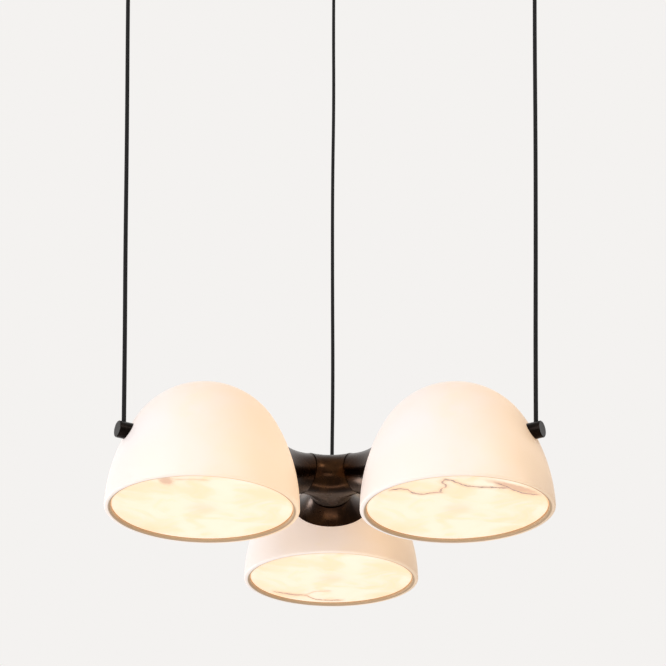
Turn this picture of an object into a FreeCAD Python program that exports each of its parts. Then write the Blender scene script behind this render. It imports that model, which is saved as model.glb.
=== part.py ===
"""Pendant lamp of three upside-down alabaster bowls on a Y-shaped bronze hub.

Three cords carry it, one from a knob on the outer side of each bowl.
Each cord ends in a ball inside its knob and in a cross joint inside a ceiling cup.
Millimetres, +Z up.  The origin is on the ceiling, on the lamp's upright axis.
The front of the lamp faces -Y.
"""
import math
import os

import FreeCAD
import Part
from FreeCAD import Vector

os.makedirs("parts", exist_ok=True)

# --- layout -------------------------------------------------------------
DROP = 1290.0              # ceiling down to the plane of the three bowl rims
ARM_REACH = 75.4           # lamp axis to each bowl's stone, at the arm's seat
NAMES = ("left", "right", "rear")
ARM_STEP = 360.0 / len(NAMES)
FIRST_AZIMUTH = -60.0      # of the left arm, from the front towards +X
AZIMUTHS = {name: FIRST_AZIMUTH + index * ARM_STEP for index, name in enumerate(NAMES)}
SPLAY = 3.3                # degrees, each cord leans outwards on its way up
UP = Vector(0, 0, 1)

# --- bowl, turned from alabaster ----------------------------------------
BOWL_R = 125.0             # outer radius at the rim
BOWL_H = 172.0             # rim to crown
CROWN_R = 107.6            # radius of the rounded crown
BOWL_WALL = 8.0
RIM_ROUND = 2.6            # soft edges of the rim

# --- diffuser disc and its magnet ---------------------------------------
DISC_RECESS = 4.0          # rim plane up to the disc's lower face
DISC_T = 8.0
DISC_GAP = 0.9             # between the disc's edge and the bowl
DISC_EDGE = 1.0            # chamfer
MAGNET_R = 13.0
MAGNET_T = 4.0
MAGNET_BORE_R = 3.0

# --- carrier inside the bowl --------------------------------------------
BAR_W = 24.0
BAR_T = 6.0
BAR_Z = 80.0               # underside of the bar above the rim plane
PAD_W = 30.0               # end pads that bear on the bowl's inside
PAD_T = 14.0
PAD_ABOVE = 13.0           # pad above the bar
PAD_BELOW = 11.0           # pad below the bar
POST_R = 6.0
FOOT_T = 3.0               # foot of the post, on the magnet
GRIP = 10.0                # length of stud or spigot held in a pad

# --- heat sink and light board ------------------------------------------
SINK_R = 46.0
SINK_BASE_T = 4.0
SINK_DEPTH = 14.0          # bar underside down to the sink's face
FIN_T = 1.8
FIN_COUNT = 12
FIN_INNER_R = 16.0
SINK_POST_GAP = 1.0
BOARD_R = 42.0
BOARD_T = 1.6
CHIP_SIZE = 5.0
CHIP_T = 1.0
CHIP_COUNT = 9
CHIP_RING_R = 32.0

# --- hub: saddle core and three bent trumpets ---------------------------
NECK_WIDE = 31.0           # half-width of the arms where the core ends
NECK_HIGH = 27.0           # half-height there
SEAM_S = 38.0              # hub axis to the seam between core and trumpet
HUB_Z = 82.7               # core's middle above the rim plane
SEAT_Z = 74.0              # middle of each trumpet's seat above the rim plane
FLARE_R = 110.0            # radius of the trumpet's flaring curve
FLARE_START = 6.0          # degrees of slope where that curve leaves the seam
FLARE_END = 45.0           # degrees of slope at its end, inside the bowl's surface
TRUMPET_WALL = 4.0
SEAM_GAP = 1.2             # depth of the visible joint line
SEAM_W = 1.3               # width of the visible joint line
WEB_T = 9.0                # solid end of the trumpet at the seam
STUD_R = 6.0
STUD_BORE_R = 3.5
STUD_IN_HUB = 16.0         # length of stud held in the core
STUD_HOLE_GAP = 0.6        # round the stud in the stone

# --- knob on the outer side of each bowl --------------------------------
KNOB_R = 11.0
KNOB_Z = 87.6              # knob axis above the rim plane
KNOB_REACH = 15.2          # stone out to the knob's outer face
CAP_T = 2.8
CAP_EDGE = 0.8
SPIGOT_R = 4.5
SPIGOT_HOLE_GAP = 0.5
BALL_R = 5.5
SOCKET_FIT = 0.05          # running fit of the rear ball
SOCKET_FLOAT = 0.8         # free play of the two front balls
PLUG_SET_BACK = 2.4        # ball centre to the end of the cap's plug
MOUTH_GAP = 0.75           # round the cord at the ball's centre
SWING = 6.3                # degrees of swing that the knob's mouth leaves

# --- cord and its ends --------------------------------------------------
CORD_R = 2.9
CORD_IN_BALL = 2.2         # cord past the ball's centre
BALL_BORE_GAP = 0.6        # round and under the cord in the ball
PIN_R = 1.25               # cross pin in the ball
PIN_FIT = 0.05             # running fit on any pin
PIN_SET_IN = 0.15          # pin ends inside the ball's surface

# --- cross joint in the ceiling cup -------------------------------------
JOINT_DROP = 20.0          # ceiling to the joint's centre
PLATE_T = 3.0
PLATE_R = 15.0             # round middle of the ceiling plate
STRAP_W = 15.0             # width of the plate's two arms
SCREW_SPAN = 24.0          # joint centre to each screw hole
SCREW_HOLE_R = 2.25
EAR_T = 3.0
EAR_W = 13.0
BLOCK_Y = 17.4             # swivel block between the ears
BLOCK_X = 12.0
BLOCK_Z = 11.0
EAR_GAP = 0.3              # block to each ear
TRUNNION_R = 3.0
FORK_PIN_R = 2.5
FORK_T = 3.0
FORK_W = 10.0
FORK_GAP = 0.4             # block to each side of the fork
BRIDGE_DROP = 14.0         # joint centre to the top of the fork's bridge
BRIDGE_T = 4.0
FERRULE_R = 5.0
FERRULE_SEAT = 1.0         # ferrule's upper end inside the bridge
FERRULE_GAP = 0.1          # round the cord in its ferrule
FORK_FLAT = 1.2            # flat left between the fork's rounded top corners
FERRULE_END = 36.0         # joint centre to the ferrule's lower end
FERRULE_NOSE = 1.6         # chamfer
CORD_TOP = 19.0            # joint centre to the cord's upper end

# --- ceiling cup --------------------------------------------------------
CUP_R = 38.0
CUP_WALL = 2.0
CUP_H = 44.0
CUP_ROUND = 6.0
CUP_HOLE_R = 9.5

# Cord routes: share of the length from the knob up, and lean to the side in mm.
CORD_WAVES = {
    "left": ((0.09, 0.8), (0.22, -0.5), (0.38, 0.9), (0.56, -0.6), (0.72, 1.0), (0.87, -0.4)),
    "right": ((0.08, -0.9), (0.21, 0.7), (0.36, 1.3), (0.53, -1.0), (0.71, 0.6), (0.88, -0.5)),
    "rear": ((0.10, 0.7), (0.24, -0.9), (0.40, 0.5), (0.57, 1.1), (0.73, -0.8), (0.88, 0.5)),
}


# --- shared geometry ----------------------------------------------------
SIDE_R = (BOWL_R ** 2 + (BOWL_H - CROWN_R) ** 2 - CROWN_R ** 2) / (2 * (BOWL_R - CROWN_R))


def dome_r(z, inset=0.0):
    """Radius of the bowl's outer surface, or one inset from it, at a height above the rim."""
    return BOWL_R - SIDE_R + math.sqrt((SIDE_R - inset) ** 2 - z ** 2)


PITCH_R = ARM_REACH + dome_r(SEAT_Z)
KNOB_FACE = dome_r(KNOB_Z) + KNOB_REACH
BALL_X = KNOB_FACE - CAP_T - BALL_R - SOCKET_FLOAT
KNOB_RING_R = PITCH_R + BALL_X
CORD_RISE = DROP - KNOB_Z - JOINT_DROP
TOP_RING_R = KNOB_RING_R + CORD_RISE * math.tan(math.radians(SPLAY))
STUD_Z = (HUB_Z + SEAT_Z) / 2


def outward(azimuth, length=1.0):
    """Level vector away from the lamp's axis."""
    turn = math.radians(azimuth)
    return Vector(math.sin(turn), -math.cos(turn), 0) * length


def at_arm(shape, azimuth):
    """Copy of a shape drawn about the lamp's axis with its arm along +X and Z from the rims."""
    done = shape.copy()
    done.rotate(Vector(), UP, azimuth - 90.0)
    done.translate(UP * -DROP)
    return done


def at_bowl(shape, azimuth):
    """Copy of a shape drawn about the bowl's own axis, its outer side along +X."""
    moved = shape.copy()
    moved.translate(Vector(PITCH_R, 0, 0))
    return at_arm(moved, azimuth)


def rod(radius, start, end):
    """Round bar between two points."""
    along = end - start
    return Part.makeCylinder(radius, along.Length, start, along)


def centred_box(size_x, size_y, size_z, centre):
    """Box with its middle at a point."""
    corner = centre - Vector(size_x, size_y, size_z) * 0.5
    return Part.makeBox(size_x, size_y, size_z, corner)


def revolved(edges):
    """Solid turned about Z from the edges of a closed outline."""
    return Part.Face(Part.Wire(edges)).revolve(Vector(), UP, 360)


def dome(inset):
    """Solid turned dome, inset all over from the bowl's outer surface."""
    join = math.atan2(BOWL_H - CROWN_R, SIDE_R - BOWL_R)
    side_centre = Vector(BOWL_R - SIDE_R, 0, 0)
    crown_centre = Vector(0, 0, BOWL_H - CROWN_R)
    side = SIDE_R - inset
    crown = CROWN_R - inset

    def on_arc(centre, radius, angle):
        return centre + Vector(math.cos(angle), 0, math.sin(angle)) * radius

    rim = Vector(BOWL_R - inset, 0, 0)
    shoulder = on_arc(side_centre, side, join)
    top = on_arc(crown_centre, crown, math.pi / 2)
    side_arc = Part.Arc(rim, on_arc(side_centre, side, join / 2), shoulder)
    crown_arc = Part.Arc(shoulder, on_arc(crown_centre, crown, (join + math.pi / 2) / 2), top)
    edges = [
        Part.makeLine(Vector(), rim),
        side_arc.toShape(),
        crown_arc.toShape(),
        Part.makeLine(top, Vector()),
    ]
    return revolved(edges)


OUTER_DOME = dome(0)
INNER_DOME = dome(BOWL_WALL)


# --- bowl and what is inside it -----------------------------------------
def make_bowl():
    """Alabaster bowl with a stud hole on its inner side and a spigot hole on its outer side."""
    shell = OUTER_DOME.cut(INNER_DOME)
    rim_edges = []
    for edge in shell.Edges:
        box = edge.BoundBox
        if box.ZMax < 0.01 and box.ZMin > -0.01:
            rim_edges.append(edge)
    shell = shell.makeFillet(RIM_ROUND, rim_edges)
    stud_hole = rod(STUD_R + STUD_HOLE_GAP, Vector(-BOWL_R, 0, STUD_Z), Vector(0, 0, STUD_Z))
    knob_hole = rod(SPIGOT_R + SPIGOT_HOLE_GAP, Vector(0, 0, KNOB_Z), Vector(BOWL_R, 0, KNOB_Z))
    return shell.cut(stud_hole).cut(knob_hole)


def make_diffuser():
    """Flat alabaster disc just inside the bowl's mouth."""
    radius = dome_r(DISC_RECESS + DISC_T, BOWL_WALL) - DISC_GAP
    disc = Part.makeCylinder(radius, DISC_T, Vector(0, 0, DISC_RECESS))
    rims = [edge for edge in disc.Edges if len(edge.Vertexes) == 1]
    return disc.makeChamfer(DISC_EDGE, rims)


DISC_TOP = DISC_RECESS + DISC_T
MAGNET_TOP = DISC_TOP + MAGNET_T


def make_magnet():
    """Ring magnet glued to the back of the diffuser."""
    ring = Part.makeCylinder(MAGNET_R, MAGNET_T, Vector(0, 0, DISC_TOP))
    return ring.cut(Part.makeCylinder(MAGNET_BORE_R, MAGNET_T, Vector(0, 0, DISC_TOP)))


def make_carrier():
    """Steel bar across the bowl with an end pad at each wall and a post down to the magnet."""
    centre_z = BAR_Z + BAR_T / 2
    bar = centred_box(2 * BOWL_R, BAR_W, BAR_T, Vector(0, 0, centre_z))
    pad_h = PAD_BELOW + BAR_T + PAD_ABOVE
    pad_z = BAR_Z - PAD_BELOW + pad_h / 2
    for side in (-1, 1):
        inner = dome_r(pad_z, BOWL_WALL) - PAD_T
        pad_length = BOWL_R - inner
        pad_x = side * (inner + pad_length / 2)
        bar = bar.fuse(centred_box(pad_length, PAD_W, pad_h, Vector(pad_x, 0, pad_z)))
    post = rod(POST_R, Vector(0, 0, MAGNET_TOP), Vector(0, 0, centre_z))
    foot = rod(MAGNET_R, Vector(0, 0, MAGNET_TOP), Vector(0, 0, MAGNET_TOP + FOOT_T))
    carrier = bar.common(INNER_DOME).fuse(post).fuse(foot)
    stud = rod(STUD_R, Vector(-BOWL_R, 0, STUD_Z), Vector(-STUD_END, 0, STUD_Z))
    spigot = rod(SPIGOT_R, Vector(SPIGOT_END, 0, KNOB_Z), Vector(BOWL_R, 0, KNOB_Z))
    return carrier.cut(stud).cut(spigot).removeSplitter()


STUD_END = dome_r(STUD_Z, BOWL_WALL) - GRIP
SPIGOT_END = dome_r(KNOB_Z, BOWL_WALL) - GRIP
SINK_Z = BAR_Z - SINK_DEPTH


def make_heatsink():
    """Round heat sink under the bar: a flat face with upright fins."""
    sink = Part.makeCylinder(SINK_R, SINK_BASE_T, Vector(0, 0, SINK_Z))
    fin_length = SINK_R - FIN_INNER_R - FIN_T
    for index in range(FIN_COUNT):
        fin = Part.makeBox(fin_length, FIN_T, SINK_DEPTH, Vector(FIN_INNER_R, -FIN_T / 2, SINK_Z))
        fin.rotate(Vector(), UP, 360.0 * index / FIN_COUNT)
        sink = sink.fuse(fin)
    hole = rod(POST_R + SINK_POST_GAP, Vector(0, 0, SINK_Z), Vector(0, 0, BAR_Z))
    return sink.cut(hole).removeSplitter()


def make_board():
    """Ring-shaped light board with a circle of square light chips."""
    top = Vector(0, 0, SINK_Z)
    board = rod(BOARD_R, top - UP * BOARD_T, top)
    for index in range(CHIP_COUNT):
        chip = centred_box(CHIP_SIZE, CHIP_SIZE, CHIP_T, Vector(CHIP_RING_R, 0, 0))
        chip.translate(UP * (SINK_Z - BOARD_T - CHIP_T / 2))
        chip.rotate(Vector(), UP, 360.0 * index / CHIP_COUNT)
        board = board.fuse(chip)
    return board.cut(rod(POST_R + SINK_POST_GAP, top - UP * BOARD_T, top)).removeSplitter()


# --- hub ----------------------------------------------------------------
def make_core():
    """Saddle-shaped middle of the hub, one concave bend between each pair of arms.

    Each side of an arm is half an ellipse, swept round the middle of its bend.
    """
    centre = UP * HUB_Z
    half_step = math.radians(ARM_STEP / 2)
    bend = SEAM_S * math.tan(half_step)
    arms = list(AZIMUTHS.values())
    ends = [outward(a, SEAM_S) + centre for a in arms]
    pivots = [outward(a + ARM_STEP / 2, SEAM_S / math.cos(half_step)) + centre for a in arms]
    arcs = []
    for index, start in enumerate(ends):
        end = ends[(index + 1) % len(ends)]
        middle = pivots[index] + (centre - pivots[index]).normalize() * bend
        arcs.append(Part.Arc(start, middle, end).toShape())
    heart = Part.Face(Part.Wire(arcs))
    heart.translate(UP * -NECK_HIGH)
    core = heart.extrude(UP * 2 * NECK_HIGH)
    for start, pivot in zip(ends, pivots):
        toward = (pivot - start).normalize()
        ellipse = Part.Ellipse(start + toward * NECK_WIDE, start + UP * NECK_HIGH, start)
        half = [
            ellipse.toShape(-math.pi / 2, math.pi / 2),
            Part.makeLine(start + UP * NECK_HIGH, start - UP * NECK_HIGH),
        ]
        core = core.fuse(Part.Face(Part.Wire(half)).revolve(pivot, UP, ARM_STEP - 180.0))
    return core


def make_trumpet():
    """Hollow trumpet between the core and one bowl, its axis dipping to the seat on the bowl.

    Inner and outer curves share one centre.  The turned flare is drawn out sideways to the
    width of the core's arm, and its lip is cut to the bowl's surface.
    """
    dip = math.atan2(HUB_Z - SEAT_Z, ARM_REACH - SEAM_S)
    neck = NECK_HIGH * math.cos(dip)
    first = math.radians(FLARE_START)
    mouth_end = math.radians(FLARE_END)
    centre_r = neck + FLARE_R * math.cos(first)
    centre_z = -FLARE_R * math.sin(first)

    def on_flare(angle, wall):
        radius = FLARE_R + wall
        return Vector(centre_r - radius * math.cos(angle), 0, centre_z + radius * math.sin(angle))

    inner_start = math.asin((WEB_T - centre_z) / (FLARE_R + TRUMPET_WALL))
    middle = (first + mouth_end) / 2
    outer_arc = Part.Arc(on_flare(first, 0), on_flare(middle, 0), on_flare(mouth_end, 0))
    inner_arc = Part.Arc(
        on_flare(mouth_end, TRUMPET_WALL),
        on_flare((mouth_end + inner_start) / 2, TRUMPET_WALL),
        on_flare(inner_start, TRUMPET_WALL),
    )
    tail = Vector(0, 0, -NECK_HIGH)
    tail_edge = Vector(neck, 0, -NECK_HIGH)
    outline = [
        Part.makeLine(tail, tail_edge),
        Part.makeLine(tail_edge, on_flare(first, 0)),
        outer_arc.toShape(),
        Part.makeLine(on_flare(mouth_end, 0), on_flare(mouth_end, TRUMPET_WALL)),
        inner_arc.toShape(),
        Part.makeLine(on_flare(inner_start, TRUMPET_WALL), Vector(0, 0, WEB_T)),
        Part.makeLine(Vector(0, 0, WEB_T), tail),
    ]
    body = revolved(outline)
    body.rotate(Vector(), Vector(0, 1, 0), 90.0 + math.degrees(dip))
    seam = Vector(SEAM_S, 0, HUB_Z)
    body.translate(seam)
    wider = FreeCAD.Matrix()
    wider.scale(1, NECK_WIDE / NECK_HIGH, 1)
    body = body.transformGeometry(wider)
    bowl = OUTER_DOME.copy()
    bowl.translate(Vector(PITCH_R, 0, 0))
    behind = centred_box(2 * SEAM_S, 4 * NECK_WIDE, 4 * NECK_HIGH, Vector(0, 0, HUB_Z))
    kept_wide = NECK_WIDE - SEAM_GAP
    kept = Part.Ellipse(seam + Vector(0, kept_wide, 0), seam + UP * (NECK_HIGH - SEAM_GAP), seam)
    line = Vector(SEAM_W, 0, 0)
    groove = rod(2 * NECK_WIDE, seam, seam + line)
    groove = groove.cut(Part.Face(Part.Wire(kept.toShape())).extrude(line))
    stud = rod(STUD_R, Vector(0, 0, STUD_Z), Vector(PITCH_R, 0, STUD_Z))
    return body.cut(bowl).cut(behind).cut(groove).cut(stud)


def make_stud():
    """Hollow threaded stud from the core through the trumpet and the stone into the carrier."""
    start = Vector(SEAM_S - STUD_IN_HUB, 0, STUD_Z)
    end = Vector(PITCH_R - STUD_END, 0, STUD_Z)
    return rod(STUD_R, start, end).cut(rod(STUD_BORE_R, start, end))


def make_hub():
    """Core with a blind socket for each stud."""
    core = make_core()
    for azimuth in AZIMUTHS.values():
        foot = outward(azimuth, SEAM_S - STUD_IN_HUB) + UP * STUD_Z
        core = core.cut(rod(STUD_R, foot, outward(azimuth, 2 * SEAM_S) + UP * STUD_Z))
    core.translate(UP * -DROP)
    return core


# --- knob ---------------------------------------------------------------
CORD_LEAN = Vector(math.sin(math.radians(SPLAY)), 0, math.cos(math.radians(SPLAY)))


def socket_of(name):
    """Radius of the ball's socket: a running fit at the rear, free play at the front."""
    return BALL_R + (SOCKET_FIT if name == "rear" else SOCKET_FLOAT)


def cord_mouth(ball):
    """Room for the cord's swing above the ball's centre, wider towards its end."""
    reach = 2 * KNOB_R
    mouth_r = CORD_R + MOUTH_GAP
    mouth_top = mouth_r + reach * math.tan(math.radians(SWING))
    return Part.makeCone(mouth_r, mouth_top, reach, ball, CORD_LEAN)


def make_knob(name):
    """Knob turned on a level axis, seated on the bowl, with its socket and the cord's mouth."""
    ball = Vector(BALL_X, 0, KNOB_Z)
    body_end = KNOB_FACE - CAP_T
    body = rod(KNOB_R, Vector(CROWN_R / 2, 0, KNOB_Z), Vector(body_end, 0, KNOB_Z)).cut(OUTER_DOME)
    spigot = rod(SPIGOT_R, Vector(SPIGOT_END, 0, KNOB_Z), ball)
    socket = socket_of(name)
    room = Part.makeSphere(socket, ball).fuse(rod(socket, ball, Vector(body_end, 0, KNOB_Z)))
    return body.fuse(spigot).cut(room).cut(cord_mouth(ball)).removeSplitter()


def make_cap(name):
    """Round end cap of the knob, its plug holding the ball in."""
    ball = Vector(BALL_X, 0, KNOB_Z)
    face = Vector(KNOB_FACE, 0, KNOB_Z)
    back = Vector(KNOB_FACE - CAP_T, 0, KNOB_Z)
    disc = rod(KNOB_R, back, face)
    outer = [e for e in disc.Edges if e.BoundBox.XMin > KNOB_FACE - 0.01]
    disc = disc.makeChamfer(CAP_EDGE, outer)
    plug = rod(socket_of(name), ball + Vector(PLUG_SET_BACK, 0, 0), back)
    cap = disc.fuse(plug).cut(Part.makeSphere(socket_of(name), ball))
    return cap.cut(cord_mouth(ball)).removeSplitter()


# --- cord and its ends, drawn in place ----------------------------------
def cord_ends(azimuth):
    """Centres of the ball in the knob and of the cross joint at the ceiling."""
    ball = outward(azimuth, KNOB_RING_R) + UP * (KNOB_Z - DROP)
    joint = outward(azimuth, TOP_RING_R) - UP * JOINT_DROP
    return ball, joint


def cord_route(name, ball, joint):
    """Points of the cord's middle line, from inside the ball up into the ferrule."""
    line = joint - ball
    along = Vector(line).normalize()
    side = UP.cross(line).normalize()
    start = ball - along * CORD_IN_BALL
    end = joint - along * CORD_TOP
    points = [start]
    for share, lean in CORD_WAVES[name]:
        points.append(ball + line * share + side * lean)
    points.append(end)
    return points


def tube_path(points):
    """Straight runs joined by tangent arcs, with the arcs' radii."""
    edges = []
    radii = []
    last = points[0]
    for before, corner, after in zip(points, points[1:], points[2:]):
        arriving = corner - before
        leaving = after - corner
        half_turn = arriving.getAngle(leaving) / 2
        reach = 0.45 * min(arriving.Length, leaving.Length)
        radius = reach / math.tan(half_turn)
        arc_start = corner - Vector(arriving).normalize() * reach
        arc_end = corner + Vector(leaving).normalize() * reach
        inward = ((arc_start + arc_end) * 0.5 - corner).normalize()
        middle = corner + inward * (radius / math.cos(half_turn) - radius)
        edges.append(Part.LineSegment(last, arc_start).toShape())
        edges.append(Part.Arc(arc_start, middle, arc_end).toShape())
        radii.append(radius)
        last = arc_end
    edges.append(Part.LineSegment(last, points[-1]).toShape())
    return Part.Wire(edges), radii


def make_cord(name, ball, joint):
    """Cord as a round tube along its route, cross-drilled for the pin in the ball."""
    points = cord_route(name, ball, joint)
    path, radii = tube_path(points)
    ring = Part.Wire(Part.makeCircle(CORD_R, points[0], points[1] - points[0]))
    cord = path.makePipeShell([ring], True, False)
    expected = math.pi * CORD_R ** 2 * path.Length
    print(name, "cord length", round(path.Length, 1), "least arc radius", round(min(radii)))
    print(name, "cord volume over section times length", round(cord.Volume / expected, 5))
    across = Vector(2 * CORD_R, 0, 0)
    return cord.cut(rod(PIN_R + PIN_FIT, ball - across, ball + across))


def make_ball(ball, joint):
    """Ball on the cord's lower end, bored for the cord and the cross pin."""
    along = (joint - ball).normalize()
    bore_start = ball - along * (CORD_IN_BALL + BALL_BORE_GAP)
    bore = rod(CORD_R + BALL_BORE_GAP, bore_start, ball + along * 2 * BALL_R)
    across = Vector(2 * BALL_R, 0, 0)
    return Part.makeSphere(BALL_R, ball).cut(bore).cut(rod(PIN_R, ball - across, ball + across))


def make_ball_pin(ball):
    """Cross pin through the ball and the cord's end."""
    half = math.sqrt(BALL_R ** 2 - PIN_R ** 2) - PIN_SET_IN
    return rod(PIN_R, ball - Vector(half, 0, 0), ball + Vector(half, 0, 0))


def make_swivel(joint):
    """Block that turns about Y between the ears, bored along X for the fork's pin."""
    block = centred_box(BLOCK_X, BLOCK_Y, BLOCK_Z, joint)
    reach = Vector(0, BLOCK_Y / 2 + EAR_GAP + EAR_T, 0)
    block = block.fuse(rod(TRUNNION_R, joint - reach, joint + reach))
    across = Vector(BLOCK_X, 0, 0)
    bore = rod(FORK_PIN_R + PIN_FIT, joint - across, joint + across)
    return block.cut(bore).removeSplitter()


def make_fork_pin(joint):
    """Pin along X through the fork and the swivel block."""
    half = Vector(BLOCK_X / 2 + FORK_GAP + FORK_T, 0, 0)
    return rod(FORK_PIN_R, joint - half, joint + half)


def make_fork(name, joint, ball):
    """Fork round the swivel block, with the ferrule bored along the cord's last run."""
    down = (ball - joint).normalize()
    side_x = BLOCK_X / 2 + FORK_GAP + FORK_T / 2
    top_z = FORK_W / 2
    side_h = top_z + BRIDGE_DROP + BRIDGE_T
    side_z = top_z - side_h / 2
    bridge_z = -BRIDGE_DROP - BRIDGE_T / 2
    fork = centred_box(2 * side_x, FORK_W, BRIDGE_T, joint + UP * bridge_z)
    for side in (-1, 1):
        cheek = centred_box(FORK_T, FORK_W, side_h, joint + Vector(side * side_x, 0, side_z))
        uprights = []
        for edge in cheek.Edges:
            top = edge.BoundBox.ZMin > joint.z + top_z - 0.01
            if top and edge.BoundBox.XLength > FORK_T / 2:
                uprights.append(edge)
        fork = fork.fuse(cheek.makeFillet((FORK_W - FORK_FLAT) / 2, uprights))
    ferrule_top = joint + down * (BRIDGE_DROP + FERRULE_SEAT)
    ferrule = rod(FERRULE_R, ferrule_top, joint + down * FERRULE_END)
    lowest = min(ferrule.Edges, key=lambda e: e.BoundBox.ZMax)
    ferrule = ferrule.makeChamfer(FERRULE_NOSE, [lowest])
    across = Vector(2 * side_x, 0, 0)
    run_start, cord_end = cord_route(name, ball, joint)[-2:]
    run = (run_start - cord_end).normalize()
    cord_bore = rod(CORD_R + FERRULE_GAP, cord_end, cord_end + run * 2 * FERRULE_END)
    fork = fork.fuse(ferrule).removeSplitter()
    return fork.cut(rod(FORK_PIN_R, joint - across, joint + across)).cut(cord_bore)


# --- ceiling fittings ---------------------------------------------------
def make_bracket(azimuth, joint):
    """Ceiling plate along the lamp's radius, with two screw holes and two ears for the swivel."""
    foot = Vector(joint.x, joint.y, 0)
    plate = Part.makeCylinder(PLATE_R, PLATE_T, foot - UP * PLATE_T)
    inner_r = CUP_R - CUP_WALL
    strap = centred_box(4 * inner_r, STRAP_W, PLATE_T, Vector(0, 0, -PLATE_T / 2))
    for side in (-1, 1):
        centre = Vector(side * SCREW_SPAN, 0, -PLATE_T)
        strap = strap.cut(Part.makeCylinder(SCREW_HOLE_R, PLATE_T, centre))
    strap.rotate(Vector(), UP, azimuth - 90.0)
    strap.translate(foot)
    inside = Part.makeCylinder(inner_r, PLATE_T, foot - UP * PLATE_T)
    plate = plate.fuse(strap.common(inside))
    ear_h = JOINT_DROP + EAR_W / 2 - PLATE_T
    for side in (-1, 1):
        y = side * (BLOCK_Y / 2 + EAR_GAP + EAR_T / 2)
        ear_z = -PLATE_T - (ear_h - EAR_W / 2) / 2
        ear = centred_box(EAR_W, EAR_T, ear_h - EAR_W / 2, foot + Vector(0, y, ear_z))
        round_end = rod(EAR_W / 2, joint + Vector(0, y - EAR_T / 2, 0), joint + Vector(0, y + EAR_T / 2, 0))
        plate = plate.fuse(ear).fuse(round_end)
    across = Vector(0, BLOCK_Y, 0)
    bore = rod(TRUNNION_R + PIN_FIT, joint - across, joint + across)
    return plate.removeSplitter().cut(bore)


def make_cup(joint):
    """Spun ceiling cup with a rounded bottom edge and a hole for the ferrule."""
    low = Vector(joint.x, joint.y, -CUP_H)
    outer = Part.makeCylinder(CUP_R, CUP_H, low)
    inner = Part.makeCylinder(CUP_R - CUP_WALL, CUP_H - CUP_WALL, low + UP * CUP_WALL)
    outer_low = min(outer.Edges, key=lambda e: e.BoundBox.ZMax)
    inner_low = min(inner.Edges, key=lambda e: e.BoundBox.ZMax)
    outer = outer.makeFillet(CUP_ROUND, [outer_low])
    inner = inner.makeFillet(CUP_ROUND - CUP_WALL, [inner_low])
    hole = Part.makeCylinder(CUP_HOLE_R, 2 * CUP_WALL, low - UP * CUP_WALL)
    return outer.cut(inner).cut(hole)


# --- all nodes ----------------------------------------------------------
def build():
    """All nodes by name, in place."""
    nodes = {"hub_core": make_hub()}
    shared_at_bowl = {
        "bowl": make_bowl(),
        "diffuser": make_diffuser(),
        "magnet": make_magnet(),
        "carrier": make_carrier(),
        "heat_sink": make_heatsink(),
        "light_board": make_board(),
    }
    trumpet = make_trumpet()
    stud = make_stud()
    for name, azimuth in AZIMUTHS.items():
        ball, joint = cord_ends(azimuth)
        for piece, shape in shared_at_bowl.items():
            nodes[piece + "_" + name] = at_bowl(shape, azimuth)
        nodes["trumpet_" + name] = at_arm(trumpet, azimuth)
        nodes["stud_" + name] = at_arm(stud, azimuth)
        nodes["knob_" + name] = at_bowl(make_knob(name), azimuth)
        nodes["knob_cap_" + name] = at_bowl(make_cap(name), azimuth)
        nodes["cord_" + name] = make_cord(name, ball, joint)
        nodes["ball_" + name] = make_ball(ball, joint)
        nodes["ball_pin_" + name] = make_ball_pin(ball)
        nodes["swivel_" + name] = make_swivel(joint)
        nodes["fork_pin_" + name] = make_fork_pin(joint)
        nodes["fork_" + name] = make_fork(name, joint, ball)
        nodes["bracket_" + name] = make_bracket(azimuth, joint)
        nodes["ceiling_cup_" + name] = make_cup(joint)
    return nodes


for node, shape in build().items():
    shape.exportStep("parts/" + node + ".step")
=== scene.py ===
"""Looks of the alabaster bowl pendant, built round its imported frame.

Objects are in metres, in the frame of the part: the ceiling is at z = 0 and the lamp's axis is
x = y = 0.  Named sizes of the lamp are in millimetres, and MM turns them into metres.
"""
import math

import bpy
import numpy as np
from mathutils import Matrix, Vector


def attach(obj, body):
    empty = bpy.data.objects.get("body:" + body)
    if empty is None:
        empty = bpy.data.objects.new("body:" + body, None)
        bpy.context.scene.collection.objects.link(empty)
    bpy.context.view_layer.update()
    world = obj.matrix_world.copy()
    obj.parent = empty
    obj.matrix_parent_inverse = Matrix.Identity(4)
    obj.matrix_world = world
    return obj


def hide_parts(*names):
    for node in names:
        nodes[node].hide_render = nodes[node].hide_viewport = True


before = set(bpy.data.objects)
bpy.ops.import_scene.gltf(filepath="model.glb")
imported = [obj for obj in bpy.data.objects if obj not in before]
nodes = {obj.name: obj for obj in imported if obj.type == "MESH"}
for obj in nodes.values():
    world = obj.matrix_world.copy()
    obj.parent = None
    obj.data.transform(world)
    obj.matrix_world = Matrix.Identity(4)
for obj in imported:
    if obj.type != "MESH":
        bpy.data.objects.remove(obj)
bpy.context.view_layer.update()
scene = bpy.context.scene
MM = 0.001

# --- camera ---------------------------------------------------------------
LENS_MM = 85.56            # short portrait lens
SENSOR_MM = 36.0
CAMERA_AT = (0.0160, -1.9999, -2.0082)   # metres
CAMERA_PITCH = 0.4724      # radians above level
CAMERA_YAW = 0.0066        # radians towards the left
CAMERA_ROLL = 0.0030


def make_camera():
    """Camera in front of the lamp and below it, looking up into the bowls."""
    data = bpy.data.cameras.new("camera")
    data.lens = LENS_MM
    data.sensor_width = SENSOR_MM
    camera = bpy.data.objects.new("camera", data)
    scene.collection.objects.link(camera)
    yaw = Matrix.Rotation(CAMERA_YAW, 4, "Z")
    tilt = Matrix.Rotation(math.pi / 2 + CAMERA_PITCH, 4, "X")
    roll = Matrix.Rotation(CAMERA_ROLL, 4, "Z")
    camera.matrix_world = Matrix.Translation(CAMERA_AT) @ yaw @ tilt @ roll
    scene.camera = camera


make_camera()

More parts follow.
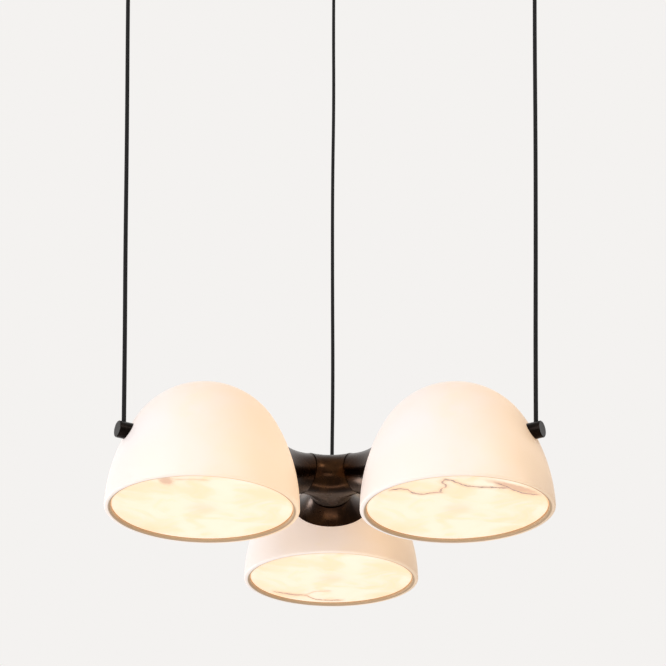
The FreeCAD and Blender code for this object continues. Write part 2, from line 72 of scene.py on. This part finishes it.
# --- sizes shared with the solids, in millimetres -------------------------
BOWLS = {"left": -60.0, "right": 60.0, "rear": 180.0}   # azimuth from the front, towards +X
DROP = 1290.0              # ceiling down to the rims
ARM_REACH = 75.4           # lamp axis to each bowl's stone, at the arm's seat
SEAT_Z = 74.0              # height of that seat above the rims
BOWL_R = 125.0             # outer radius at the rim
BOWL_H = 172.0
CROWN_R = 107.6            # radius of the crown's arc
SIDE_R = (BOWL_R ** 2 + (BOWL_H - CROWN_R) ** 2 - CROWN_R ** 2) / (2 * (BOWL_R - CROWN_R))
KNOB_Z = 87.6              # height of the knobs above the rims
STONE_TO_BALL = 6.1        # outside of the stone to the ball's centre in the knob
SPLAY = 3.3                # degrees, each cord leans outwards on its way up
JOINT_DROP = 20.0          # ceiling down to the cross joints in the cups
CORD_IN_BALL = 2.2         # the cord begins this far past the ball's centre
CORD_TOP = 19.0            # and ends this far short of the cross joint, in the ferrule
CORD_R = 2.9
CORD_SIDES = 28            # facets round a cord
ROUTE_STEPS = 80           # pieces of line for each control point of a route
# Control points of each route: share of the length from the knob up, and lean to the side.
CORD_WAVES = {
    "left": ((0.09, 0.8), (0.22, -0.5), (0.38, 0.9), (0.56, -0.6), (0.72, 1.0), (0.87, -0.4)),
    "right": ((0.08, -0.9), (0.21, 0.7), (0.36, 1.3), (0.53, -1.0), (0.71, 0.6), (0.88, -0.5)),
    "rear": ((0.10, 0.7), (0.24, -0.9), (0.40, 0.5), (0.57, 1.1), (0.73, -0.8), (0.88, 0.5)),
}
BOARD_FACE_Z = 64.4 - DROP  # lower face of each light board, where its chips begin


def dome_r(z):
    """Radius of a bowl's outer surface at a height above its rim."""
    return BOWL_R - SIDE_R + math.sqrt(SIDE_R ** 2 - z ** 2)


PITCH_R = ARM_REACH + dome_r(SEAT_Z)
KNOB_RING_R = PITCH_R + dome_r(KNOB_Z) + STONE_TO_BALL
TOP_RING_R = KNOB_RING_R + (DROP - KNOB_Z - JOINT_DROP) * math.tan(math.radians(SPLAY))

# --- cords ----------------------------------------------------------------


def outward(name, length):
    """Level vector from the lamp's axis towards one bowl."""
    turn = math.radians(BOWLS[name])
    return Vector((math.sin(turn), -math.cos(turn), 0)) * length


def cord_route(name):
    """Points of the cord's middle line, from inside the ball up into the ferrule."""
    ball = outward(name, KNOB_RING_R) + Vector((0, 0, KNOB_Z - DROP))
    joint = outward(name, TOP_RING_R) - Vector((0, 0, JOINT_DROP))
    line = joint - ball
    along = line.normalized()
    side = Vector((0, 0, 1)).cross(line).normalized()
    points = [ball - along * CORD_IN_BALL]
    for share, lean in CORD_WAVES[name]:
        points.append(ball + line * share + side * lean)
    points.append(joint - along * CORD_TOP)
    return [point * MM for point in points]


def smooth_line(points):
    """Dense points of the NURBS curve that has the route's points as its control points."""
    data = bpy.data.curves.new("route", "CURVE")
    data.dimensions = "3D"
    data.resolution_u = ROUTE_STEPS
    spline = data.splines.new("NURBS")
    spline.points.add(len(points) - 1)
    for place, point in zip(spline.points, points):
        place.co = (*point, 1.0)
    spline.order_u = 3
    spline.use_endpoint_u = True
    route = bpy.data.objects.new("route", data)
    scene.collection.objects.link(route)
    bpy.context.view_layer.update()
    mesh = bpy.data.meshes.new_from_object(route)
    line = np.zeros(len(mesh.vertices) * 3)
    mesh.vertices.foreach_get("co", line)
    bpy.data.objects.remove(route)
    return line.reshape(-1, 3)


def surface(name, points, faces, uv=None):
    """Mesh object from arrays of points, faces and, where given, one UV pair per face corner."""
    mesh = bpy.data.meshes.new(name)
    mesh.from_pydata(points.tolist(), [], faces)
    if uv is not None:
        layer = mesh.uv_layers.new(name="surface")
        layer.data.foreach_set("uv", np.asarray(uv, np.float32).ravel())
    mesh.shade_smooth()
    mesh.validate()
    piece = bpy.data.objects.new(name, mesh)
    scene.collection.objects.link(piece)
    return piece


def tube(name, line, radius, sides):
    """Closed tube along a line.

    A point of the wall is C(s) + radius * (cos(a) * n(s) + sin(a) * b(s)), where C is the line
    at length s, a goes once round, and n and b are square to the line.  The UV map holds the
    share of a turn and the length in millimetres.
    """
    tangent = np.gradient(line, axis=0)
    tangent /= np.linalg.norm(tangent, axis=1)[:, None]
    level = np.cross(tangent, [0.0, 1.0, 0.0])
    level /= np.linalg.norm(level, axis=1)[:, None]
    across = np.cross(tangent, level)
    turn = np.linspace(0, 2 * np.pi, sides, endpoint=False)
    ring = np.cos(turn)[None, :, None] * level[:, None, :]
    ring = ring + np.sin(turn)[None, :, None] * across[:, None, :]
    wall = (line[:, None, :] + radius * ring).reshape(-1, 3)
    count = len(line)
    row = np.arange(count - 1)[:, None] * sides
    start = np.arange(sides)[None, :]
    after = (start + 1) % sides
    quads = np.stack([row + start, row + after, row + sides + after, row + sides + start], -1)
    length = np.r_[0, np.cumsum(np.linalg.norm(np.diff(line, axis=0), axis=1))] / MM
    low = np.broadcast_to(length[:-1, None], (count - 1, sides))
    high = np.broadcast_to(length[1:, None], (count - 1, sides))
    left = np.broadcast_to(start / sides, (count - 1, sides))
    right = left + 1 / sides
    uv = np.stack([left, low, right, low, right, high, left, high], -1).reshape(-1, 2)
    first = list(range(sides))[::-1]
    last = list(range((count - 1) * sides, count * sides))
    faces = quads.reshape(-1, 4).tolist() + [first, last]
    uv = np.vstack([uv, np.zeros((2 * sides, 2))])
    return surface(name, wall, faces, uv)


def make_cord(name):
    """Taut textile cord from the ball in the knob to the ferrule in the ceiling cup."""
    line = smooth_line(cord_route(name))
    piece = tube("braided_cord_" + name, line, CORD_R * MM, CORD_SIDES)
    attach(piece, "cord_" + name)
    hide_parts("cord_" + name)
    return piece


cords = [make_cord(name) for name in BOWLS]

# --- colours and nodes ----------------------------------------------------


def srgb(code):
    """Linear colour of a sRGB hex value."""
    parts = [int(code[i:i + 2], 16) / 255 for i in (0, 2, 4)]
    linear = [c / 12.92 if c <= 0.04045 else ((c + 0.055) / 1.055) ** 2.4 for c in parts]
    return (*linear, 1.0)


def add(owner, kind, inputs=None, **settings):
    """Adds a node; each input takes a value, an output, or a node that stands for its live output."""
    made = owner.node_tree.nodes.new("ShaderNode" + kind)
    for name, value in settings.items():
        setattr(made, name, value)
    live = {socket.name: socket for socket in reversed(made.inputs) if socket.enabled}
    for key, value in (inputs or {}).items():
        socket = made.inputs[key] if isinstance(key, int) else live[key]
        if isinstance(value, bpy.types.Node):
            value = next(output for output in value.outputs if output.enabled)
        if isinstance(value, bpy.types.NodeSocket):
            owner.node_tree.links.new(value, socket)
        else:
            socket.default_value = value
    return made


def begin(name, centre=(0, 0, 0)):
    """New material and its object coordinates in millimetres from a centre."""
    material = bpy.data.materials.new(name)
    material.use_nodes = True
    material.node_tree.nodes.clear()
    place = add(material, "TexCoord").outputs["Object"]
    moved = {"Vector": place, "Location": [-c for c in centre], "Scale": (1000, 1000, 1000)}
    return material, add(material, "Mapping", moved)


def finished(material, sockets):
    """Material whose surface is one shader with these sockets."""
    shader = add(material, "BsdfPrincipled", sockets)
    add(material, "OutputMaterial", {"Surface": shader})
    return material


# --- finishes ---------------------------------------------------------------
SMOOTH = {"interpolation_type": "SMOOTHSTEP"}
COLOUR = {"data_type": "RGBA"}
STONE_IOR = 1.53
STONE_GLOSS = 0.35
HONED_DEPTH = 0.02 * MM
BOWL_GLOW_LIT_TO_SHADED = ("E8D3C8", "FFC98F")   # glow of the lit side and warmer glow of the side in painted shade
SHADED_EDGE = {"left": 0.10, "right": 0.55, "rear": 0.45}   # how far the +X edge turns to brown, painted shade
# The rear bowl's glow is set lower as painted shade from the bowls and hub in front of it.
BOWL_LIGHT = {"left": 0.52, "right": 0.50, "rear": 0.46}
DISC_LIGHT = 0.57
RECESS_SHADE_INSET = (4.0, 6.0)     # inwards from the rim's radius, where the painted shade of the recess begins and is full
RECESS_SHADE_HEIGHT = (20.0, 12.0)  # above the rim, likewise


def alabaster_bowl(name):
    """Honed alabaster, lit from inside: milky, faintly clouded, its glow painted warmer towards +X as
    shade.

    Clouds are about 90 mm across and wisps 26 mm, and the honed grain is drawn at 2 mm, coarser
    than the real one.  The glow turns browner at the +X edge, painted shade, and the inner wall is
    a darker tan from the rim up to about 20 mm, painted shade in the recess round the disc.
    """
    centre = outward(name, PITCH_R)
    material, where = begin("honed_alabaster_" + name, (centre.x, centre.y, 0))
    cloud = add(material, "TexNoise", {
        "Vector": where, "Scale": 1 / 90, "Detail": 3.0, "Roughness": 0.5, "Distortion": 0.6,
    })
    wisp = add(material, "TexNoise", {
        "Vector": where, "Scale": 1 / 26, "Detail": 4.0, "Roughness": 0.6, "Distortion": 1.2,
    })
    grain = add(material, "TexNoise", {"Vector": where, "Scale": 1 / 2, "Detail": 2.0})
    clouded = add(material, "MapRange", {
        "Value": cloud, "From Min": 0.35, "From Max": 0.68,
    }, **SMOOTH)
    wisps = add(material, "MapRange", {
        "Value": wisp, "From Min": 0.55, "From Max": 0.8, "To Max": 0.35,
    }, **SMOOTH)
    stone = add(material, "Mix", {
        "Factor": clouded, "A": srgb("ECEBEC"), "B": srgb("F1EAE3"),
    }, **COLOUR)
    stone = add(material, "Mix", {"Factor": wisps, "A": stone, "B": srgb("E6D8C6")}, **COLOUR)
    across = add(material, "SeparateXYZ", {"Vector": where}).outputs["X"]
    drift = add(material, "Math", {0: cloud, 1: 60.0, 2: -30.0}, operation="MULTIPLY_ADD")
    across = add(material, "Math", {0: across, 1: drift})
    # Painted shade: glow and stone turn warmer towards +X, the side away from the key lamp.
    shaded_side = add(material, "MapRange", {
        "Value": across, "From Min": -BOWL_R * 0.75, "From Max": BOWL_R * 0.85,
    }, **SMOOTH)
    glow = add(material, "Mix", {
        "Factor": shaded_side, "A": srgb(BOWL_GLOW_LIT_TO_SHADED[0]), "B": srgb(BOWL_GLOW_LIT_TO_SHADED[1]),
    }, **COLOUR)
    stone = add(material, "Mix", {"Factor": shaded_side, "A": stone, "B": srgb("EFE1CE")}, **COLOUR)
    # Painted shade: the glow darkens to brown at the +X edge.
    shaded_edge = add(material, "MapRange", {
        "Value": across, "From Min": BOWL_R * 0.45, "From Max": BOWL_R, "To Max": SHADED_EDGE[name],
    }, **SMOOTH)
    glow = add(material, "Mix", {"Factor": shaded_edge, "A": glow, "B": srgb("7A4C28")}, **COLOUR)

    flat = add(material, "VectorMath", {0: where, 1: (1, 1, 0)}, operation="MULTIPLY")
    out = add(material, "VectorMath", {0: flat}, operation="LENGTH").outputs["Value"]
    height = add(material, "SeparateXYZ", {"Vector": where}).outputs["Z"]
    # Painted shade in the recess: the inner wall near the rim turns darker tan, and its glow dark
    # brown.
    inside = add(material, "MapRange", {
        "Value": out, "From Min": BOWL_R - RECESS_SHADE_INSET[0], "From Max": BOWL_R - RECESS_SHADE_INSET[1],
    })
    low = add(material, "MapRange", {
        "Value": height, "From Min": RECESS_SHADE_HEIGHT[0] - DROP, "From Max": RECESS_SHADE_HEIGHT[1] - DROP,
    })
    recess_shade = add(material, "Math", {0: inside, 1: low}, operation="MULTIPLY")
    stone = add(material, "Mix", {"Factor": recess_shade, "A": stone, "B": srgb("C9AE8E")}, **COLOUR)
    glow = add(material, "Mix", {"Factor": recess_shade, "A": glow, "B": srgb("4A3019")}, **COLOUR)
    return finished(material, {
        "Base Color": stone,
        "Roughness": add(material, "MapRange", {
            "Value": wisp, "From Min": 0.3, "From Max": 0.7, "To Min": 0.40, "To Max": 0.50,
        }),
        "IOR": STONE_IOR,
        "Specular IOR Level": STONE_GLOSS,
        "Emission Color": glow,
        "Emission Strength": BOWL_LIGHT[name],
        "Normal": add(material, "Bump", {"Height": grain, "Strength": 1.0, "Distance": HONED_DEPTH}),
    })


# Veins of each disc: strength, axis along it, and places in millimetres from the disc's centre,
# x to the right and y to the rear, or y first where the vein runs along Y.
VEINS = {
    "left": (
        (0.35, "X", ((-34, -101), (-17, -98), (0, -98), (18, -93))),
    ),
    "right": (
        (1.0, "X", ((-90, -60), (-69, -66), (-59, -54), (-47, -49), (-38, -53), (-22, -55))),
        (0.8, "Y", ((-102, -20), (-90, -24), (-76, -19), (-64, -25), (-52, -22))),
        (1.0, "X", ((-24, -100), (-15, -96), (-8, -90), (2, -80), (14, -75), (38, -72), (62, -70))),
        (1.0, "X", ((40, -88), (53, -78), (67, -62), (81, -52), (101, -46))),
    ),
    "rear": (
        (1.0, "X", ((-88, 60), (-65, 74), (-54, 79), (-41, 79), (-26, 98), (-13, 103), (20, 103))),
        (0.5, "X", ((-41, 79), (-35, 74), (-26, 64), (-14, 60), (2, 60))),
    ),
}
# Brown patches: middle, direction in degrees, half sizes in the same millimetres, and strength.
PATCHES = {
    "left": ((-37, -93), 80.0, (15, 10), 0.8),
    "right": ((66, -72), 34.0, (44, 9), 0.85),
    "rear": ((-60, 74), 25.0, (20, 6), 0.4),
}
VEIN_SPAN = 240.0          # range of places that a vein's curve covers
VEIN_FADE = ((-2, 6), (2, -8))   # from each end of a vein, where it begins and where it is full
VEIN_WANDER = 9.0          # how far the noise moves a vein's edge from side to side
# Halo and core of a vein: half widths where it ends and is full, depth, and tone.
VEIN_BANDS = ((10.0, 1.0, 0.50, "E7A873"), (2.4, 0.5, 0.95, "5F3A22"))
CENTRE_SHADOW_R = (30.0, 4.0)       # radii where the painted shadow at the disc's centre begins and is full
CENTRE_SHADOW_DEPTH = 0.30


def vein_lines(material, disc, axis, points, wander):
    """How near each place is to one vein, a curve through its points with a shaky edge.

    Gives the distance to the curve in millimetres and 1 between the vein's two ends.
    """
    where_x, where_y = disc.outputs[axis], disc.outputs["Y" if axis == "X" else "X"]
    across = add(material, "Math", {0: where_x, 1: 1 / VEIN_SPAN, 2: 0.5}, operation="MULTIPLY_ADD")
    curve = add(material, "FloatCurve", {"Value": across})
    mapping = curve.mapping.curves[0]
    for x, y in points:
        mapping.points.new(x / VEIN_SPAN + 0.5, y / VEIN_SPAN + 0.5)
    mapping.points.remove(mapping.points[-1])
    mapping.points.remove(mapping.points[0])
    curve.mapping.update()
    level = add(material, "Math", {
        0: curve, 1: VEIN_SPAN, 2: -VEIN_SPAN / 2,
    }, operation="MULTIPLY_ADD")
    shaken = add(material, "Math", {0: where_y, 1: wander})
    apart = add(material, "Math", {0: shaken, 1: level}, operation="SUBTRACT")
    apart = add(material, "Math", {0: apart}, operation="ABSOLUTE")
    shown = []
    for tip, (begin_at, full_at) in zip((points[0][0], points[-1][0]), VEIN_FADE):
        shown.append(add(material, "MapRange", {
            "Value": where_x, "From Min": tip + begin_at, "From Max": tip + full_at,
        }))
    return apart, add(material, "Math", {0: shown[0], 1: shown[1]}, operation="MULTIPLY")


def alabaster_disc(name):
    """Honed alabaster disc with the light right behind it: cream glow, brown veins, painted shadow at
    the centre.
    """
    centre = outward(name, PITCH_R)
    material, where = begin("alabaster_disc_" + name, (centre.x, centre.y, 0))
    disc = add(material, "SeparateXYZ", {"Vector": where})
    cloud = add(material, "TexNoise", {
        "Vector": where, "Scale": 1 / 55, "Detail": 3.0, "Roughness": 0.5, "Distortion": 0.8,
    })
    shake = add(material, "TexNoise", {
        "Vector": where, "Scale": 1 / 7, "Detail": 3.0, "Roughness": 0.7,
    })
    grain = add(material, "TexNoise", {"Vector": where, "Scale": 1 / 2, "Detail": 2.0})
    wander = add(material, "Math", {
        0: shake, 1: VEIN_WANDER, 2: -VEIN_WANDER / 2,
    }, operation="MULTIPLY_ADD")
    clouded = add(material, "MapRange", {"Value": cloud, "From Min": 0.35, "From Max": 0.7}, **SMOOTH)
    glow = add(material, "Mix", {"Factor": clouded, "A": srgb("FFE6C8"), "B": srgb("FFD5A2")}, **COLOUR)

    middle, turn, half_sizes, strength = PATCHES[name]
    local = add(material, "VectorRotate", {
        "Vector": where, "Center": (*middle, 0), "Angle": math.radians(-turn),
    }, rotation_type="Z_AXIS")
    local = add(material, "VectorMath", {0: local, 1: (*middle, 0)}, operation="SUBTRACT")
    shrink = (1 / half_sizes[0], 1 / half_sizes[1], 0)
    local = add(material, "VectorMath", {0: local, 1: shrink}, operation="MULTIPLY")
    off = add(material, "VectorMath", {0: local}, operation="LENGTH").outputs["Value"]
    ragged = add(material, "Math", {0: shake, 1: 0.9, 2: off}, operation="MULTIPLY_ADD")
    patch = add(material, "MapRange", {
        "Value": ragged, "From Min": 1.7, "From Max": 0.9, "To Max": strength,
    }, **SMOOTH)
    glow = add(material, "Mix", {"Factor": patch, "A": glow, "B": srgb("CB8D5C")}, **COLOUR)

    for strength, axis, points in VEINS[name]:
        apart, within = vein_lines(material, disc, axis, points, wander)
        for far, near, depth, tone in VEIN_BANDS:
            line = add(material, "MapRange", {
                "Value": apart, "From Min": far, "From Max": near, "To Max": depth * strength,
            }, **SMOOTH)
            line = add(material, "Math", {0: line, 1: within}, operation="MULTIPLY")
            glow = add(material, "Mix", {"Factor": line, "A": glow, "B": srgb(tone)}, **COLOUR)

    # Painted shadow at the disc's centre, where parts behind it block the light.
    flat = add(material, "VectorMath", {0: where, 1: (1, 1, 0)}, operation="MULTIPLY")
    out = add(material, "VectorMath", {0: flat}, operation="LENGTH").outputs["Value"]
    centre_shadow = add(material, "MapRange", {
        "Value": out, "From Min": CENTRE_SHADOW_R[0], "From Max": CENTRE_SHADOW_R[1], "To Max": CENTRE_SHADOW_DEPTH,
    }, **SMOOTH)
    glow = add(material, "Mix", {"Factor": centre_shadow, "A": glow, "B": srgb("D9AC7E")}, **COLOUR)
    stone = add(material, "Mix", {"Factor": 0.5, "A": glow, "B": srgb("F1ECE6")}, **COLOUR)
    return finished(material, {
        "Base Color": stone,
        "Roughness": 0.45,
        "IOR": STONE_IOR,
        "Specular IOR Level": STONE_GLOSS,
        "Emission Color": glow,
        "Emission Strength": DISC_LIGHT,
        "Normal": add(material, "Bump", {"Height": grain, "Strength": 1.0, "Distance": HONED_DEPTH}),
    })


def patinated_bronze():
    """Cast bronze, brown patina, waxed: nearly black-brown with clear soft highlights."""
    material, where = begin("patinated_bronze")
    cloud = add(material, "TexNoise", {
        "Vector": where, "Scale": 1 / 24, "Detail": 4.0, "Roughness": 0.6, "Distortion": 0.5,
    })
    fleck = add(material, "TexNoise", {
        "Vector": where, "Scale": 1 / 3, "Detail": 3.0, "Roughness": 0.6,
    })
    clouded = add(material, "MapRange", {"Value": cloud, "From Min": 0.35, "From Max": 0.7}, **SMOOTH)
    flecked = add(material, "MapRange", {
        "Value": fleck, "From Min": 0.55, "From Max": 0.8, "To Max": 0.5,
    }, **SMOOTH)
    colour = add(material, "Mix", {
        "Factor": clouded, "A": srgb("2A1A10"), "B": srgb("3B2616"),
    }, **COLOUR)
    colour = add(material, "Mix", {"Factor": flecked, "A": colour, "B": srgb("4C3019")}, **COLOUR)
    return finished(material, {
        "Base Color": colour,
        "Metallic": 1.0,
        "Roughness": add(material, "MapRange", {
            "Value": cloud, "From Min": 0.3, "From Max": 0.7, "To Min": 0.22, "To Max": 0.32,
        }),
        "Normal": add(material, "Bump", {"Height": fleck, "Strength": 1.0, "Distance": 0.03 * MM}),
    })


def blackened_bronze():
    """Turned bronze, blackened and lacquered: near black, satin, with fine tool marks."""
    material, where = begin("blackened_bronze")
    cloud = add(material, "TexNoise", {
        "Vector": where, "Scale": 1 / 12, "Detail": 3.0, "Roughness": 0.6,
    })
    fine = add(material, "TexNoise", {
        "Vector": where, "Scale": 1 / 0.8, "Detail": 2.0, "Roughness": 0.6,
    })
    clouded = add(material, "MapRange", {"Value": cloud, "From Min": 0.35, "From Max": 0.7}, **SMOOTH)
    return finished(material, {
        "Base Color": add(material, "Mix", {
            "Factor": clouded, "A": srgb("15110F"), "B": srgb("221C19"),
        }, **COLOUR),
        "Metallic": 1.0,
        "Roughness": add(material, "MapRange", {
            "Value": cloud, "From Min": 0.3, "From Max": 0.7, "To Min": 0.26, "To Max": 0.36,
        }),
        "Normal": add(material, "Bump", {"Height": fine, "Strength": 1.0, "Distance": 0.01 * MM}),
    })


def braided_textile():
    """Black polyester braid over a strain wire and two leads: sixteen strands, matt, faint sheen.

    Eight strands wind each way; their crests are |sin| of the turn plus or minus the length.
    """
    material, where = begin("black_polyester_braid")
    strands = 8
    lay_mm = 20.0          # length of one turn of a strand
    uv = add(material, "UVMap", uv_map="surface")
    split = add(material, "SeparateXYZ", {"Vector": uv})
    around = add(material, "Math", {0: split.outputs["X"], 1: strands}, operation="MULTIPLY")
    along = add(material, "Math", {0: split.outputs["Y"], 1: strands / lay_mm}, operation="MULTIPLY")
    crests = []
    counts = []
    for way in ("ADD", "SUBTRACT"):
        place = add(material, "Math", {0: around, 1: along}, operation=way)
        angle = add(material, "Math", {0: place, 1: math.pi}, operation="MULTIPLY")
        wave = add(material, "Math", {0: angle}, operation="SINE")
        crests.append(add(material, "Math", {0: wave}, operation="ABSOLUTE"))
        counts.append(add(material, "Math", {0: place}, operation="FLOOR"))
    cell = add(material, "Math", {0: counts[0], 1: counts[1]})
    over = add(material, "Math", {0: cell, 1: 1.0}, operation="PINGPONG")
    height = add(material, "Mix", {"Factor": over, "A": crests[1], "B": crests[0]})
    fuzz = add(material, "TexNoise", {
        "Vector": where, "Scale": 1 / 0.5, "Detail": 2.0, "Roughness": 0.7,
    })
    relief = add(material, "Math", {0: fuzz, 1: 0.4, 2: height}, operation="MULTIPLY_ADD")
    return finished(material, {
        # Painted shade: the base colour is darker in the valleys between strands.
        "Base Color": add(material, "Mix", {
            "Factor": height, "A": srgb("070606"), "B": srgb("141212"),
        }, **COLOUR),
        "Roughness": 0.8,
        "IOR": 1.5,
        "Specular IOR Level": 0.3,
        "Sheen Weight": 0.06,
        "Sheen Roughness": 0.5,
        "Normal": add(material, "Bump", {"Height": relief, "Strength": 1.0, "Distance": 0.22 * MM}),
    })


def brushed_steel():
    """Brushed stainless steel, with fine scratches 0.6 mm apart, drawn coarse."""
    material, where = begin("brushed_steel")
    stretched = add(material, "Mapping", {"Vector": where, "Scale": (0.06, 0.06, 1.0)})
    line = add(material, "TexNoise", {
        "Vector": stretched, "Scale": 1 / 0.6, "Detail": 3.0, "Roughness": 0.6,
    })
    return finished(material, {
        "Base Color": add(material, "Mix", {
            "Factor": line, "A": srgb("A9ABAD"), "B": srgb("C2C3C3"),
        }, **COLOUR),
        "Metallic": 1.0,
        "Roughness": add(material, "MapRange", {
            "Value": line, "From Min": 0.3, "From Max": 0.7, "To Min": 0.26, "To Max": 0.38,
        }),
        "Normal": add(material, "Bump", {"Height": line, "Strength": 1.0, "Distance": 0.02 * MM}),
    })


def threaded_steel():
    """Zinc-plated threaded tube: 1.5 mm thread running along the arm."""
    material, where = begin("zinc_plated_thread")
    pitch = 1.5
    flat = add(material, "VectorMath", {0: where, 1: (1, 1, 0)}, operation="MULTIPLY")
    out = add(material, "VectorMath", {0: flat}, operation="LENGTH").outputs["Value"]
    angle = add(material, "Math", {0: out, 1: 2 * math.pi / pitch}, operation="MULTIPLY")
    wave = add(material, "Math", {0: angle}, operation="SINE")
    crest = add(material, "Math", {0: wave, 1: 0.5, 2: 0.5}, operation="MULTIPLY_ADD")
    return finished(material, {
        # Painted shade: the base colour is darker in the thread's roots.
        "Base Color": add(material, "Mix", {
            "Factor": crest, "A": srgb("8E8C84"), "B": srgb("C6C3B8"),
        }, **COLOUR),
        "Metallic": 1.0,
        "Roughness": 0.34,
        "Normal": add(material, "Bump", {"Height": crest, "Strength": 1.0, "Distance": 0.5 * MM}),
    })


def plated_magnet():
    """Nickel-plated ring magnet: bright, with small handling marks."""
    material, where = begin("nickel_plate")
    mark = add(material, "TexNoise", {
        "Vector": where, "Scale": 1 / 3, "Detail": 4.0, "Roughness": 0.7,
    })
    return finished(material, {
        "Base Color": add(material, "Mix", {
            "Factor": mark, "A": srgb("B8B2A8"), "B": srgb("CFCBC3"),
        }, **COLOUR),
        "Metallic": 1.0,
        "Roughness": add(material, "MapRange", {
            "Value": mark, "From Min": 0.3, "From Max": 0.7, "To Min": 0.12, "To Max": 0.26,
        }),
    })


def cast_aluminium():
    """Clear anodised aluminium, machined: pale grey, fine turning marks drawn 1.2 mm apart."""
    material, where = begin("anodised_aluminium")
    grain = add(material, "TexNoise", {
        "Vector": where, "Scale": 1 / 1.2, "Detail": 3.0, "Roughness": 0.6,
    })
    return finished(material, {
        "Base Color": add(material, "Mix", {
            "Factor": grain, "A": srgb("B4B6B8"), "B": srgb("C9CBCC"),
        }, **COLOUR),
        "Metallic": 1.0,
        "Roughness": add(material, "MapRange", {
            "Value": grain, "From Min": 0.3, "From Max": 0.7, "To Min": 0.38, "To Max": 0.5,
        }),
        "Normal": add(material, "Bump", {"Height": grain, "Strength": 1.0, "Distance": 0.02 * MM}),
    })


def chip_board():
    """White solder mask on a glass fibre board, with lit yellow phosphor on the raised chips."""
    material, where = begin("white_chip_board")
    height = add(material, "SeparateXYZ", {"Vector": where}).outputs["Z"]
    chip = add(material, "MapRange", {
        "Value": height, "From Min": BOARD_FACE_Z - 0.05, "From Max": BOARD_FACE_Z - 0.15,
    })
    weave = add(material, "TexNoise", {"Vector": where, "Scale": 1 / 1.5, "Detail": 2.0})
    board = add(material, "Mix", {"Factor": weave, "A": srgb("E9E7E0"), "B": srgb("F2F0EA")}, **COLOUR)
    lit = add(material, "Mix", {"Factor": chip, "A": srgb("000000"), "B": srgb("FFD9A0")}, **COLOUR)
    return finished(material, {
        "Base Color": add(material, "Mix", {"Factor": chip, "A": board, "B": srgb("F2D27A")}, **COLOUR),
        "Roughness": 0.42,
        "IOR": 1.5,
        "Emission Color": lit,
        "Emission Strength": 1.6,
    })


FINISHES = {
    "hub": patinated_bronze(),
    "black": blackened_bronze(),
    "steel": brushed_steel(),
    "thread": threaded_steel(),
    "magnet": plated_magnet(),
    "aluminium": cast_aluminium(),
    "board": chip_board(),
    "braid": braided_textile(),
}

FINISH_OF = {
    "magnet": "magnet",
    "carrier": "steel",
    "heat_sink": "aluminium",
    "light_board": "board",
    "trumpet": "hub",
    "stud": "thread",
    "knob": "black",
    "knob_cap": "black",
    "ball": "steel",
    "ball_pin": "steel",
    "swivel": "steel",
    "fork_pin": "steel",
    "fork": "steel",
    "bracket": "steel",
    "ceiling_cup": "black",
}


def give(piece, finish):
    """One finish on every slot of a piece."""
    if not piece.material_slots:
        piece.data.materials.append(finish)
    for slot in piece.material_slots:
        slot.material = finish


give(nodes["hub_core"], FINISHES["hub"])
for bowl_name in BOWLS:
    for kind, finish_name in FINISH_OF.items():
        give(nodes[kind + "_" + bowl_name], FINISHES[finish_name])
    give(nodes["bowl_" + bowl_name], alabaster_bowl(bowl_name))
    give(nodes["diffuser_" + bowl_name], alabaster_disc(bowl_name))
for cord in cords:
    give(cord, FINISHES["braid"])

# --- studio -----------------------------------------------------------------
FLOOR_Z = -2.55            # metres
FLOOR_HALF = 14.0
PALE = "F4F2F0"
SOFT_LIGHT = 0.30
LAMP_MIDDLE = (0.0, 0.0, (90.0 - DROP) * MM)


def make_floor():
    """Wide pale floor that takes the lamp's shadow."""
    corners = np.array([[-1, -1, 0], [1, -1, 0], [1, 1, 0], [-1, 1, 0]]) * FLOOR_HALF
    corners[:, 2] = FLOOR_Z
    floor = surface("studio_floor", corners, [[0, 1, 2, 3]])
    paint, where = begin("pale_floor_paint")
    speckle = add(paint, "TexNoise", {"Vector": where, "Scale": 1 / 40, "Detail": 2.0})
    give(floor, finished(paint, {
        "Base Color": add(paint, "Mix", {
            "Factor": speckle, "A": srgb(PALE), "B": srgb("F2F0EE"),
        }, **COLOUR),
        "Roughness": 0.9,
    }))


def make_world():
    """Pale backdrop for the eye and for metal, and a plain soft light for everything else."""
    world = bpy.data.worlds.new("studio")
    world.use_nodes = True
    scene.world = world
    world.node_tree.nodes.clear()
    path = add(world, "LightPath").outputs
    seen = add(world, "Math", {0: path["Is Camera Ray"], 1: path["Is Glossy Ray"]})
    seen = add(world, "Math", {0: seen, 1: path["Is Transmission Ray"]}, use_clamp=True)
    soft = add(world, "Background", {"Color": srgb("FFFFFF"), "Strength": SOFT_LIGHT})
    backdrop = add(world, "Background", {"Color": srgb(PALE), "Strength": 1.0})
    mixed = add(world, "MixShader", {0: seen, 1: soft, 2: backdrop})
    add(world, "OutputWorld", {"Surface": mixed})


def softbox(name, place, size, watts, colour="FFFFFF"):
    """Rectangular soft lamp that faces the middle of the lamp's bowls."""
    data = bpy.data.lights.new(name, "AREA")
    data.shape = "RECTANGLE"
    data.size, data.size_y = size
    data.energy = watts
    data.color = srgb(colour)[:3]
    lamp = bpy.data.objects.new(name, data)
    scene.collection.objects.link(lamp)
    lamp.location = place
    lamp.rotation_euler = (Vector(LAMP_MIDDLE) - Vector(place)).to_track_quat("-Z", "Y").to_euler()


make_floor()
make_world()
softbox("key", (-2.3, -1.7, -0.98), (1.6, 1.6), 27.0, "F6FAFF")
softbox("low_front", (0.3, -2.1, -2.45), (1.4, 0.5), 10.0)
softbox("strip_under", (0.0, 0.25, -2.45), (0.9, 0.10), 2.5)
softbox("window_right", (1.2, -1.7, -0.15), (0.5, 0.5), 8.0)
softbox("strip_rear_left", (-1.5, 1.1, -1.45), (0.35, 0.5), 6.0)
scene.view_settings.view_transform = "Standard"
